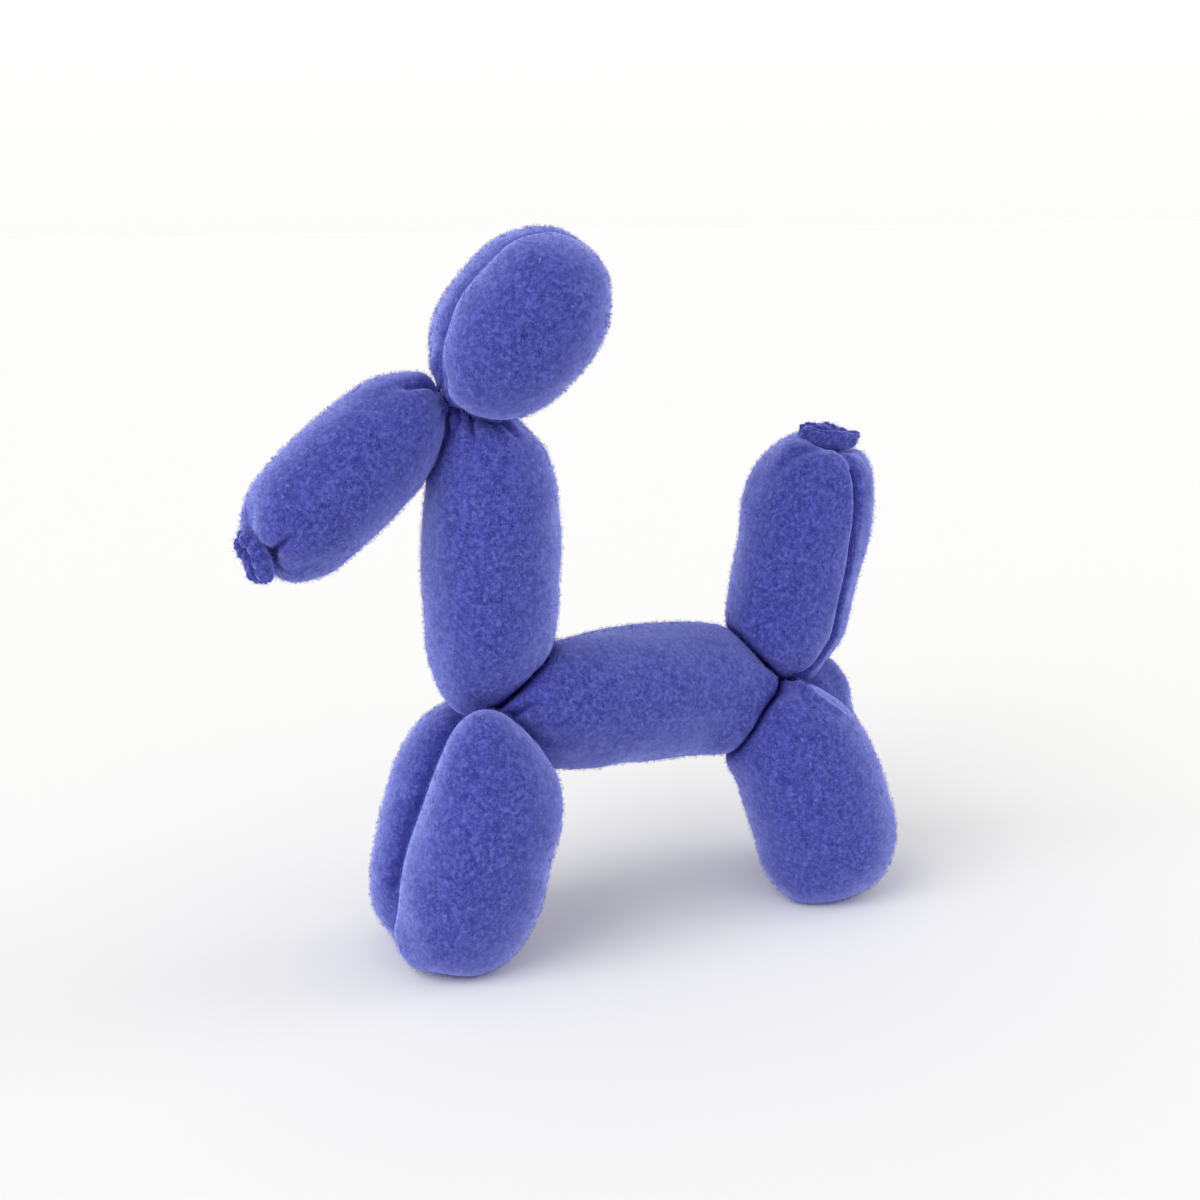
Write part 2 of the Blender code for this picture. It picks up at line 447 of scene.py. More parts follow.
def sausage_grid(bubble):
    """The plain sausage's points as a rows by columns grid."""
    return bubble.surface(grid_directions(bubble, even_rows(bubble), TURNS))


for name, bubble in BUBBLES.items():
    if name.endswith("_leg"):
        lowest = sausage_grid(bubble)[..., 2].min()
        bubble.middle[2] += -FOOT_SINK - lowest
        print(name, "set down by", round(lowest + FOOT_SINK, 3), "cm")

# %% [markdown]
# ## Creases, folds and swells
# Some marks belong to this dog: folds that run out of the ties, the groove down the tail,
# dimples in the legs, and fuller places. Each is a line of a few points near the surface, with
# a width and a depth or height, and fades to both sides by a bell curve. A swell belongs to
# its bubble's gauge, so neighbours give way to it; a negative height flattens. A crease is
# pressed into the settled cloth.

# %% Creases as lines of points
CREASES = {name: [] for name in BUBBLES}
IN_OUT_SHARE = 0.25      # how much of the distance straight in or out of a bubble counts


def crease(name, width, depth, *line, fade=0.0):
    """Notes a crease on a bubble: its width, depth and points, and its loss towards the last."""
    CREASES[name].append((np.array(line), width, depth, fade))


def swell(name, width, height, *line):
    """Makes a bubble fuller along a line of points."""
    BUBBLES[name].swells.append((np.array(line), width, height))


# Snout: folds at both ties, a flatter tip.
crease("snout", 0.24, 0.24, (-9.98, -1.39, 30.07), (-9.39, -1.31, 30.11), (-8.69, -1.04, 30.13),
       (-8.29, -1.07, 29.94))
crease("snout", 0.28, 0.46, (-17.5, -1.2, 22.0), (-17.31, -1.86, 22.29), (-17.13, -2.08, 22.56),
       (-16.92, -2.25, 22.77), (-16.47, -2.49, 23.22), (-16.17, -2.64, 23.45), fade=0.8)
swell("snout", 1.0, -0.22, (-18.2, -0.4, 23.9))
swell("snout", 0.8, 0.10, (-8.9, -0.2, 30.4), (-8.5, -0.2, 30.3))
swell("snout", 1.0, 0.16, (-16.3, -1.0, 21.2), (-15.4, -0.9, 20.7), (-14.17, -0.78, 20.93))
# Neck: five folds below the head, fuller in front, flatter behind.
crease("neck", 0.17, 0.30, (-7.73, -1.09, 28.82), (-7.99, -1.01, 28.29), (-8.27, -1.40, 27.83),
       (-8.43, -1.45, 27.06), fade=0.8)
crease("neck", 0.17, 0.36, (-7.45, -1.0, 28.9), (-7.48, -1.37, 28.45), (-7.62, -1.50, 28.07),
       (-7.83, -1.61, 27.62), (-8.01, -1.68, 27.12), fade=0.8)
crease("neck", 0.18, 0.44, (-6.95, -1.0, 28.9), (-6.91, -1.49, 28.43), (-6.99, -1.85, 28.08),
       (-7.05, -2.32, 27.62), (-7.04, -2.54, 27.30), fade=0.8)
crease("neck", 0.18, 0.28, (-6.2, -1.6, 28.5), (-5.93, -2.30, 28.08), (-5.87, -2.64, 27.74),
       fade=0.6)
crease("neck", 0.20, 0.20, (-5.5, -2.2, 28.2), (-5.27, -2.61, 27.88), (-4.95, -2.79, 27.59))
swell("neck", 0.9, 0.55, (-8.2, -0.9, 28.5), (-8.7, -0.6, 27.2), (-9.0, -0.4, 26.0))
swell("neck", 1.3, 0.24, (-8.97, 0.5, 15.94), (-8.55, 0.26, 14.5), (-7.92, -0.05, 13.54))
swell("neck", 1.1, -0.30, (-4.1, -1.2, 28.0), (-3.4, -1.0, 27.6))
# Body: a fold and its lip at the front tie, fuller below.
crease("body", 0.22, 0.34, (-5.4, -2.6, 13.05), (-5.04, -3.04, 13.35), (-4.70, -3.28, 13.66),
       (-4.28, -3.37, 13.83), fade=0.5)
swell("body", 0.30, 0.14, (-5.2, -3.2, 12.85), (-4.72, -3.40, 13.3), (-3.96, -3.49, 13.6))
swell("body", 1.2, 0.18, (-2.36, -1.39, 9.08), (-0.58, -1.27, 8.97))
swell("body", 1.1, 0.42, (7.4, -1.5, 9.6), (8.5, -0.9, 9.2), (9.6, -0.6, 9.1))
swell("body", 1.5, 0.36, (10.4, -1.9, 12.1), (9.8, -2.4, 11.4), (9.1, -2.4, 10.4))
swell("body", 1.5, -0.30, (-1.8, 0.7, 16.3), (-0.9, 0.9, 16.4))
swell("body", 0.9, 0.08, (-5.7, -1.9, 13.1), (-5.2, -2.4, 13.6), (-4.7, -2.7, 14.1),
      (-4.2, -2.7, 14.7))
swell("body", 1.2, 0.07, (3.67, 1.53, 16.2), (5.86, 1.02, 15.97))
# Tail: the seam's groove in two parts, a fold at the frill.
crease("tail", 0.28, 0.20, (14.8, -0.2, 25.4), (14.9, -0.8, 25.3), (15.1, -1.1, 25.0),
       (15.24, -1.5, 24.4), fade=0.2)
crease("tail", 0.20, 0.34, (15.24, -1.6, 24.2), (15.28, -1.8, 23.6), (15.18, -1.92, 22.68),
       (14.9, -2.0, 19.34), (14.4, -1.93, 17.1), (14.06, -1.62, 14.78), (12.99, -1.52, 13.26),
       (11.9, -1.2, 12.7))
swell("tail", 0.9, 0.15, (16.3, -1.1, 23.4), (16.35, -1.28, 21.34), (16.47, -0.78, 18.97),
       (15.92, -0.92, 16.75), (15.28, -0.96, 14.8))
crease("tail", 0.42, 0.22, (13.6, -0.2, 25.4), (13.19, -0.44, 25.52), (12.06, -0.01, 24.93),
       (11.19, 0.41, 23.83), fade=0.7)
swell("tail", 1.3, 0.14, (11.02, 3.28, 23.91), (10.51, 3.26, 22.23))
# Left ear: a broad hollow in front. Right ear: fuller in front.
crease("left_ear", 0.75, 0.36, (-8.77, -2.2, 30.6), (-8.63, -1.86, 32.26),
       (-8.08, -2.03, 33.69), (-7.03, -2.38, 35.35), (-5.64, -2.88, 36.76), (-4.27, -3.2, 37.36),
       fade=0.4)
swell("right_ear", 0.9, 0.60, (-8.0, 0.6, 29.9), (-8.0, 0.8, 30.6))
swell("right_ear", 1.2, 0.22, (-7.6, 0.5, 30.6), (-8.0, 0.9, 31.5), (-7.9, 1.0, 33.0),
       (-7.0, 0.9, 34.8))
# Front legs: fuller at the toes, a long fold and two dimples in the right one.
swell("left_front_leg", 1.1, 0.24, (-3.9, -4.5, 10.0), (-4.0, -4.9, 8.9), (-4.6, -5.6, 7.6))
swell("left_front_leg", 1.2, 0.28, (-12.04, -2.52, 1.9), (-11.37, -3.19, 1.0))
crease("right_front_leg", 0.45, 0.26, (-7.08, -0.09, 12.63), (-8.53, -0.53, 11.31),
       (-9.25, -0.62, 10.07), (-9.85, -0.65, 8.53), (-10.54, -0.42, 6.92), (-11.23, -0.25, 4.21))
crease("right_front_leg", 0.40, 0.16, (-10.12, -0.45, 8.24), (-10.7, 0.1, 8.0))
crease("right_front_leg", 0.35, 0.14, (-11.4, -0.05, 3.89))
swell("right_front_leg", 1.5, 0.18, (-11.83, 0.87, 2.78), (-10.97, 1.23, 0.79))
# Hind legs: a fold, its lip and two dimples in the left one.
swell("left_hind_leg", 0.9, 0.30, (8.3, -0.5, 8.8), (8.3, -0.3, 8.1))
swell("left_hind_leg", 1.3, -0.36, (10.3, -2.0, 12.2), (9.6, -2.4, 11.4), (8.9, -2.4, 10.6))
swell("left_hind_leg", 0.30, 0.12, (11.75, -2.03, 12.83), (12.32, -3.25, 12.5),
      (13.03, -3.69, 11.96), (13.6, -3.8, 11.4))
crease("left_hind_leg", 0.22, 0.20, (12.4, -1.6, 12.4), (11.4, -2.92, 12.5),
       (11.46, -3.9, 11.91), (11.84, -4.34, 11.31), fade=0.9)
crease("left_hind_leg", 0.25, 0.12, (8.83, -3.11, 9.94), (8.94, -3.38, 9.14))
crease("left_hind_leg", 0.22, 0.10, (9.62, -3.33, 11.37), (9.62, -3.68, 10.79))
swell("left_hind_leg", 1.3, 0.30, (10.3, -1.8, 1.9), (11.2, -3.0, 0.9))
swell("left_hind_leg", 1.2, 0.10, (15.6, -3.2, 9.2), (16.5, -3.8, 6.4), (16.7, -4.1, 5.1))
swell("right_hind_leg", 1.0, 0.36, (16.6, 2.7, 11.8), (16.8, 2.3, 11.1))
print("creases", sum(len(found) for found in CREASES.values()))


def line_distance(points, line, outwards):
    """Distance of every point from a line of points, and how far along the line it falls.

    A line is noted a little above or below the finished cloth, so the distance straight in or
    out of the bubble counts less: the square root of far^2 - (1 - share^2) deep^2.
    """
    starts = run_of(length(np.diff(line, axis=0)))
    best = np.full(points.shape[:-1], np.inf)
    share = np.full(points.shape[:-1], 0.5)
    ends = line[1:] if len(line) > 1 else line + TINY
    for start, end, before in zip(line, ends, starts):
        step = end - start
        along = np.clip((points - start) @ step / (step @ step), 0, 1)
        away = points - start - along[..., None] * step
        less = (1 - IN_OUT_SHARE ** 2) * (away * outwards).sum(axis=-1) ** 2
        far = np.sqrt(np.maximum((away ** 2).sum(axis=-1) - less, 0))
        nearer = far < best
        best = np.where(nearer, far, best)
        if len(line) > 1:
            share = np.where(nearer, (before + along * length(step)) / starts[-1], share)
    return best, share


def crease_depth(name, points):
    """The sum of depth * exp(-(distance/width)^2), fading towards each line's far end."""
    outwards = BUBBLES[name].outwards(points)
    creased = np.zeros(points.shape[:-1])
    for line, width, depth, fade in CREASES[name]:
        away, share = line_distance(points, line, outwards)
        creased += depth * bell(away / width) * (1 - fade * share ** 2)
    return creased


# %% [markdown]
# ## Pleats round the ties
# Where the tube is drawn in, its spare cloth folds into pleats that fan out from the tie and
# fade. Their directions, widths and depths come from a seeded generator.

# %% Draw the pleats of one tie
PLEATS = 11
PLEAT_DEPTH = 0.14
PLEAT_SHIFT = 0.32           # of the way to the next pleat
PLEAT_WIDTHS = (0.09, 0.17)  # radians round the tie


def pleat_depth(points, tie, reach):
    """Pleats at random turns: depth * exp(-(turn apart/width)^2) * exp(-(distance/reach)^4)."""
    shifts = random.uniform(-PLEAT_SHIFT, PLEAT_SHIFT, PLEATS)
    places = (np.arange(PLEATS) + shifts) * math.tau / PLEATS
    depths = random.uniform(0.35, 1.0, PLEATS) * PLEAT_DEPTH
    widths = random.uniform(*PLEAT_WIDTHS, PLEATS)
    lengths = random.uniform(0.7, 1.15, PLEATS) * reach
    apart = np.angle(np.exp(1j * (TURNS[:, None] - places)))
    fades = np.exp(-(length(points - tie)[..., None] / lengths) ** 4)
    return (fades * bell(apart / widths)[None] * depths).sum(axis=-1)


# %% [markdown]
# ## Soft unevenness
# Stuffing is never even. A few long waves in random directions, about half a millimetre high,
# keep the bubbles from looking turned on a lathe.

# %% Waves of the stuffing
WAVES = 14
WAVE_HEIGHT = 0.05
WAVELENGTHS = (2.4, 6.0)


def sines(points, count, turn, spacings):
    """Sines along random directions, each going on by that turn over a random spacing."""
    headings = unit(random.normal(size=(count, 3)))
    numbers = turn / random.uniform(*spacings, count)
    phases = random.uniform(0, turn, count)
    return np.sin(points @ (headings * numbers[:, None]).T + phases)


def waves(points):
    """How high the stuffing lifts the cloth: height * (sum of sines) / sqrt(their number)."""
    return (WAVE_HEIGHT * sines(points, WAVES, math.tau, WAVELENGTHS).sum(axis=-1)
            / math.sqrt(WAVES))


# %% [markdown]
# ## Bubbles that press on each other
# Two stuffed bubbles that meet flatten each other along the surface where both are equally
# deep, and the cloth rolls in to that surface with a small radius. Every grid point is slid
# along its line from the bubble's core until a smooth maximum of two things is one: how far
# out it is on its own bubble, and one plus how much deeper it is in a neighbour. Near a tie
# the bubble is also drawn in, which makes the pit that all the creases run to.

# %% Settle one bubble among its neighbours
ROLL = 0.07          # how softly the cloth rolls in to a contact, in radii
GAP = 0.004          # half the gap that keeps two cloths apart, in radii
HUNTS = 18
NEAREST = 0.03       # the hunt's start and end, as shares of the sausage's distance;
FURTHEST = 2.2       # a cone reaches further than the sausage
ROOM = 3.0           # how much longer than two bubbles a gap is that none bridges


def tie_pull(bubble, points):
    """How much the ties draw the bubble in: pull * exp(-(distance/radius)^2) at each tie."""
    return sum(pull * bell(length(points - tie) / radius)
               for tie, (_, _, pull, radius, _) in zip(bubble.ties, bubble.ends))


def settle(name, start, reach):
    """Slides start along its lines from the core until the smooth maximum is one.

    reach is how far out the free cloth would lie, as a share of start's distance. The smooth
    maximum of a and b is half of a + b + sqrt((a - b)^2 + roll^2).
    """
    bubble = BUBBLES[name]
    core = bubble.spine(start)
    line = start - core
    near = [other for key, other in BUBBLES.items() if key != name
            and length(other.middle - bubble.middle) < other.size[2] + bubble.size[2] + ROOM]
    low = np.full(start.shape[:-1], NEAREST)
    high = np.full(start.shape[:-1], FURTHEST)
    for _ in range(HUNTS):
        share = (low + high) / 2
        points = core + share[..., None] * line
        depth = bubble.gauge(points)
        own = depth / reach * (1 + tie_pull(bubble, points))
        shallowest = np.min([other.gauge(points) for other in near], axis=0)
        pressed = 1 + depth - shallowest + GAP
        most = (own + pressed + np.sqrt((own - pressed) ** 2 + ROLL ** 2)) / 2
        inside = most < 1
        low = np.where(inside, share, low)
        high = np.where(inside, high, share)
    return core + low[..., None] * line


# %% [markdown]
# ## Mesh from a grid
# Each closed skin is the same mesh: rings of points, joined by quads and closed at both poles
# by fans, with its faces outwards.

# %% Build and link a skin
FOOT_SOFTNESS = 0.08


def skin_mesh(name, grid):
    """A closed mesh from a rows by columns grid whose first and last rows are poles."""
    rows, columns = grid.shape[:2]
    points = np.concatenate((grid[:1, 0], grid[1:-1].reshape(-1, 3), grid[-1:, 0]))
    column = np.arange(columns)
    after = (column + 1) % columns
    starts = 1 + np.arange(rows - 3)[:, None] * columns
    quads = np.stack((starts + column, starts + columns + column,
                      starts + columns + after, starts + after), axis=-1).reshape(-1, 4)
    last = len(points) - 1
    top = np.stack((np.zeros(columns, int), 1 + column, 1 + after), axis=1)
    base = last - columns
    bottom = np.stack((np.full(columns, last), base + after, base + column), axis=1)
    mesh = bpy.data.meshes.new(name)
    mesh.from_pydata(points * CM, [], top.tolist() + quads.tolist() + bottom.tolist())
    mesh.shade_smooth()
    return mesh


def place_piece(mesh, material):
    """Links a finished mesh with its material, puts it on the root and hides the CAD part."""
    print(mesh.name, len(mesh.polygons), "faces")
    mesh.materials.append(material)
    piece = link(mesh.name, mesh)
    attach(piece, "root")
    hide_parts("balloon_dog")
    return piece


def flatten_foot(grid):
    """Presses what is under the floor flat: z becomes half of z + sqrt(z^2 + softness^2)."""
    height = grid[..., 2]
    grid[..., 2] = (height + np.sqrt(height ** 2 + FOOT_SOFTNESS ** 2)) / 2
    return grid


# %% [markdown]
# ## Fleece
# Fleece is a knit brushed until its loops break into short curly hairs. From a metre away it
# is a matt cloth with a fine mottle and thin light hairs. Thin lines where slow noise crosses
# its middle are such hairs, over an even veil of others; more noise gives the mottle.

# %% Mix the fleece
DEEP = (0.022, 0.027, 0.188, 1.0)
PLAIN = (0.071, 0.083, 0.408, 1.0)
VIOLET = (0.085, 0.056, 0.330, 1.0)
HAIR = (0.155, 0.173, 0.610, 1.0)
SHEEN_PAINT = (0.28, 0.32, 0.88, 1.0)          # painted sheen: the lighter colour of hairs seen at a slant
SHEEN_PAINT_PALE = (0.46, 0.51, 1.0, 1.0)
PALE = (0.62, 0.63, 0.78, 1.0)
SHADED = (0.055, 0.058, 0.320, 1.0)       # painted shade: the lightest tone inside a fold
CLOTH = {"Roughness": 0.95, "Specular IOR Level": 0.12, "Sheen Weight": 0.40,
         "Sheen Roughness": 0.45, "Sheen Tint": (0.46, 0.52, 1.0, 1.0)}
LINE_SHARPNESS = 11.0
VEIL = 0.5               # the share of hairs where no line runs
MOTTLE, GRAIN, CLOUD, TONE = 2.5, 1.4, 1.6, 0.45     # contrasts of three noises, mean tone
SPREAD_IN_FOLDS = 0.006  # metres; the raised hairs carry light down into a fold
FOLD_START = 0.2         # a fold noted as less than this gets no painted shade yet


def cloth_shader(name):
    """A new matt material, its shader, and the place on the object as a signal."""
    made, shader = new_material(name, CLOTH)
    return made, shader, Signal(made.node_tree, None).node("ShaderNodeTexCoord", output="Object")


def noise(place, scale, detail, distortion, offset, stretch=(1.0, 1.0, 1.0)):
    """Noise of that scale at the place, moved, turned and stretched first."""
    moved = place.node("ShaderNodeMapping", (), {
        "Vector": place, "Location": offset, "Rotation": offset, "Scale": stretch})
    return place.node("ShaderNodeTexNoise", (), {
        "Vector": moved, "Scale": scale, "Detail": detail, "Roughness": 0.6,
        "Distortion": distortion})


def fine_lines(place, scale, offset, stretch):
    """Thin lines where slow wavy noise crosses its middle: 1 - sharpness |n - 0.5|, held."""
    lines = noise(place, scale, 1.5, 1.3, offset, stretch)
    return (1 - LINE_SHARPNESS * lines.maths("ABSOLUTE", lines - 0.5)).held()


def matt(place, colour, through=0.0):
    """A matt shader of a changing colour; light spreads through it as far as is said."""
    return place.node("ShaderNodeBsdfPrincipled", (), {
        "Base Color": colour, "Roughness": 0.95, "Specular IOR Level": 0.05,
        "Subsurface Weight": float(through > 0), "Subsurface Scale": through,
        "Subsurface Radius": (1.0, 1.0, 1.0)}, "BSDF")


def mixed(share, first, second):
    """The first shader, turning into the second as the share rises from nought to one."""
    return share.node("ShaderNodeMixShader", (), {0: share, 1: first, 2: second})


def noted(place, title):
    """What note has written at each point under that title."""
    return place.node("ShaderNodeAttribute", {"attribute_name": title}, (), "Fac")


def fleece_material():
    """Mottled base colour with fine light hairs, and a bump from the same signals.

    The sheen of fleece is its raised hairs, which hide the cloth between them where it is seen
    at a slant. Here that sheen is painted: a lighter colour by slant, left out near ties and
    contacts. Inside folds it turns into a darker cloth without sheen, which is painted shade.
    """
    made, shader, place = cloth_shader("violet_blue_fleece")
    mottle = noise(place, 1000.0, 3.0, 1.6, (0.3, 1.1, 2.0), (1.0, 1.0, 0.5))
    cloud = noise(place, 180.0, 4.0, 0.3, (1.7, 0.2, 0.9))
    lines = fine_lines(place, 350.0, (1.2, 2.9, 2.3), (1.0, 1.0, 0.35))
    web = place.maths("MAXIMUM", lines, VEIL)
    grain = noise(place, 1700.0, 2.0, 0.0, (2.6, 0.9, 1.4))
    tone = ((mottle - 0.5) * MOTTLE + (grain - 0.5) * GRAIN + (cloud - 0.5) * CLOUD
            + TONE).held()
    colour = blend(tone, DEEP, PLAIN)
    reddish = (noise(place, 520.0, 2.0, 0.6, (0.8, 2.4, 1.6)) * 4.0 - 2.1).held()
    colour = blend(reddish * 0.45, colour, VIOLET)
    broken = (noise(place, 420.0, 2.0, 0.0, (3.3, 1.9, 0.1)) * 4.0 - 1.75).held()
    colour = blend(web * broken * 0.85, colour, HAIR)
    bump = place.node("ShaderNodeBump", (), {
        "Height": mottle * 0.6 + web * 0.4, "Strength": 0.5, "Distance": 0.0006})
    colour.into(shader.inputs["Base Color"])
    bump.into(shader.inputs["Normal"])
    # Painted sheen: seen at a slant, the cloth turns towards a lighter matt colour.
    painted_sheen = matt(place, blend(tone, SHEEN_PAINT, SHEEN_PAINT_PALE))
    slant = place.node("ShaderNodeLayerWeight", (), {"Blend": 0.5}, "Facing")
    plain = Signal(place.tree, shader.outputs["BSDF"])
    open_cloth = mixed(slant * slant * (1 - noted(place, "sheen_cut_by_shade")), plain, painted_sheen)
    # Painted shade: in folds, near ties and along contacts the cloth turns into a darker one.
    dark = (noted(place, "folded") * (1 + FOLD_START) - FOLD_START).held()
    both = mixed(dark, open_cloth, matt(place, blend(mottle, SHADED, DEEP), SPREAD_IN_FOLDS))
    both.into(made.node_tree.nodes["Material Output"].inputs[0])
    return made


def hairs_material(name, low, high, scale, offset, dark=0.0, contrast=1.0):
    """Loose hairs, from the low colour to the high one by noise: (n - dark) contrast, held."""
    made, shader, place = cloth_shader(name)
    tone = ((noise(place, scale, 2.0, 0.0, offset) - dark) * contrast).held()
    blend(tone, low, high).into(shader.inputs["Base Color"])
    return made


FLEECE = fleece_material()
NAP = hairs_material("fleece_hairs", PLAIN, HAIR, 500.0, (0.9, 0.4, 1.9), 0.3, 2.2)
LINT = hairs_material("pale_lint", HAIR, PALE, 900.0, (0.2, 0.3, 0.4))

# %% [markdown]
# ## The ten stuffed bubbles
# Every bubble is laid out, waved, settled among its neighbours, creased and pleated, and
# becomes a piece of its own.

# %% Note where the cloth is folded in, for its painted shade
# Painted shade: how deep a crease, and how near a tie or a contact, the cloth is darkened.
FOLD_DEEP = 0.32         # a crease this deep counts as a full fold
FOLD_AT_TIE = 0.8        # how far from a tie the cloth counts as folded,
FOLD_NEAR = 0.045        # and from a contact, in radii
CONTACT_SHADE_NEAR = 0.12      # how far from a contact painted shade replaces the painted sheen, in radii
CONTACT_SHADE_SHARE = 0.3      # how much painted fold shade that adds
CREASE_LIMIT = 0.5       # the most of the way to the core that a crease takes


def others_gauge(name, points):
    """The gauge of whichever other bubble the points are deepest in."""
    return np.min([bubble.gauge(points) for key, bubble in BUBBLES.items() if key != name],
                  axis=0)


def note(mesh, title, values):
    """Writes a number from nought to one at each point, which the fleece reads."""
    values = np.concatenate((values[:1, 0], values[1:-1].reshape(-1), values[-1:, 0]))
    mesh.attributes.new(title, "FLOAT", "POINT").data.foreach_set(
        "value", np.clip(values, 0, 1).astype(np.float32))


# %% Make the bubbles
SKINS = {}


def make_skin(name, grid):
    """Closes the grid's poles, keeps the grid for the nap, and places its mesh."""
    grid[0] = grid[0].mean(axis=0)
    grid[-1] = grid[-1].mean(axis=0)
    SKINS[name] = grid
    return place_piece(skin_mesh(name, grid), FLEECE)


def make_bubble(name):
    """Swells go in before the cloth settles, creases after, so both stay clear of others."""
    bubble = BUBBLES[name]
    plain = sausage_grid(bubble)
    grid = settle(name, plain, 1 + waves(plain) / length(plain - bubble.spine(plain)))
    creased = crease_depth(name, grid)
    for tie, (*_, reach) in zip(bubble.ties, bubble.ends):
        creased += pleat_depth(grid, tie, reach)
    line = grid - bubble.spine(grid)
    far = length(line)
    grid = flatten_foot(
        grid - line * (np.minimum(creased, CREASE_LIMIT * far) / far)[..., None])
    piece = make_skin(name, grid)
    # Painted shade: darker where creased, near a tie or near a contact; no painted sheen near
    # ties and contacts.
    tied = sum(bell(length(grid - tie) / FOLD_AT_TIE) for tie in bubble.ties)
    gap = np.maximum(others_gauge(name, grid) - bubble.gauge(grid) - GAP, 0)
    contact_shade = bell(gap / CONTACT_SHADE_NEAR)
    note(piece.data, "folded", np.clip(creased / FOLD_DEEP, 0, 1) + tied
         + bell(gap / FOLD_NEAR) + CONTACT_SHADE_SHARE * contact_shade)
    note(piece.data, "sheen_cut_by_shade", tied + contact_shade)


for name in BUBBLES:
    make_bubble(name)

# %% [markdown]
# ## The two gathered ends
# At the nose and the tip of the tail the tube simply ends: a tie is pulled tight just before
# its cut edge, and the cloth beyond opens into a little crinkled frill, squeezed until its lips
# meet in a crooked slit. It is a closed profile carried round an oval with a slight waist, with
# the slit pressed into its top, flutes towards its rim, and creases all over.

# %% Shape a frill
FRILL_ROWS, FRILL_COLUMNS = 70, 140
FRILL_PROFILE = np.array([(0.0, -0.50), (0.35, -0.42), (0.45, -0.15), (0.66, -0.03),
                          (0.90, 0.10), (1.0, 0.32), (1.03, 0.62), (0.98, 0.86), (0.84, 1.0),
                          (0.62, 1.02), (0.40, 1.0), (0.20, 1.0), (0.0, 1.0)])
FLUTES = ((5, 0.045), (9, 0.04), (15, 0.025))    # waves round the rim, and their heights
WAIST_LENGTH = 0.42      # shares of the frill's half-length
SLIT_LENGTH = 0.80
SLIT_WIDTH = 0.26        # shares of its half-width
SLIT_SWAY = 0.2
CRINKLES = 5
CRINKLE_SPACINGS = (0.28, 0.75)
CRINKLE_WIDTH = 0.35
CRINKLE_PRESS = 0.8


def cut_corners(points, times):
    """Each round puts two points a quarter in from the ends of every side."""
    for _ in range(times):
        ahead = points[:-1] * 0.75 + points[1:] * 0.25
        back = points[:-1] * 0.25 + points[1:] * 0.75
        points = np.concatenate((points[:1], np.stack((ahead, back), 1).reshape(-1, 2),
                                 points[-1:]))
    return points


def outward(grid):
    """Unit normals of a closed grid: the cross product of its steps along columns and rows."""
    across = np.roll(grid, -1, axis=1) - np.roll(grid, 1, axis=1)
    along = np.gradient(grid, axis=0)
    normals = unit(np.cross(along, across))
    normals[0] = unit(normals[1].mean(axis=0))
    normals[-1] = unit(normals[-2].mean(axis=0))
    return normals


def crinkles(points):
    """Narrow creases: the product of 1 - press exp(-(sin/width)^2) along random directions."""
    bent = points + 0.12 * np.sin(points[..., [1, 2, 0]] * 5.0)
    swing = sines(bent, CRINKLES, math.pi, CRINKLE_SPACINGS)
    return np.prod(1 - CRINKLE_PRESS * bell(swing / CRINKLE_WIDTH), axis=-1)


def frill_grid(tie, opens, long_way, half_long, half_wide, tall, waist, slit_deep, crinkle):
    """x = a r cos(turn), y = b r sin(turn) narrowed at the waist, z = height less the slit."""
    opens = unit(opens)
    long_way = unit(long_way - opens * (long_way @ opens))
    across = np.cross(-opens, long_way)
    profile = cut_corners(FRILL_PROFILE, 3)
    share, level = (evenly(part, length(np.diff(profile, axis=0)), FRILL_ROWS)
                    for part in profile.T)
    turns = np.linspace(0, math.tau, FRILL_COLUMNS, endpoint=False)
    places = random.uniform(0, math.tau, 4)
    flutes = sum(height * np.sin(number * turns + place)
                 for (number, height), place in zip(FLUTES, places))
    near_rim = bell((level - 0.85) / 0.45) * np.clip(share * 1.6 - 0.3, 0, 1)
    wide = share[:, None] * (1 + near_rim[:, None] * flutes)
    x = half_long * wide * np.cos(turns)
    y = half_wide * wide * np.sin(turns)
    y = y * (1 - waist * bell(x / (WAIST_LENGTH * half_long)))
    slit = SLIT_SWAY * half_wide * np.sin(4.4 * x / half_long + places[3])
    hollow = np.exp(-((y - slit) / (SLIT_WIDTH * half_wide)) ** 2
                    - (x / (SLIT_LENGTH * half_long)) ** 4)
    on_top = np.clip((level[:, None] - 0.7) / 0.25, 0, 1)
    z = tall * (level[:, None] - slit_deep * hollow * on_top
                + 0.07 * np.sin(4 * turns + places[3]) * near_rim[:, None])
    grid = tie + x[..., None] * long_way + y[..., None] * across + z[..., None] * opens
    folded = 1 - crinkles(grid)
    lift = -crinkle * folded * np.clip(level[:, None] * 2, 0, 1)
    grid = grid + lift[..., None] * outward(grid)
    # The second grid is painted shade: darker in the crinkles, in the slit and at the frill's
    # foot.
    return grid, 0.15 * folded + 0.8 * hollow * on_top + np.clip(0.6 - 5 * level[:, None], 0, 1)


# %% Make the frills of the nose and the tail
def make_frill(name, tie, **sizes):
    """A frill is a piece of its own, but no cushion: it is bare doubled cloth."""
    grid, folded = frill_grid(tie, **sizes)
    piece = make_skin(name, grid)
    # Painted shade in its crinkles and slit; nothing cuts its painted sheen.
    note(piece.data, "folded", folded)
    note(piece.data, "sheen_cut_by_shade", np.zeros(folded.shape))


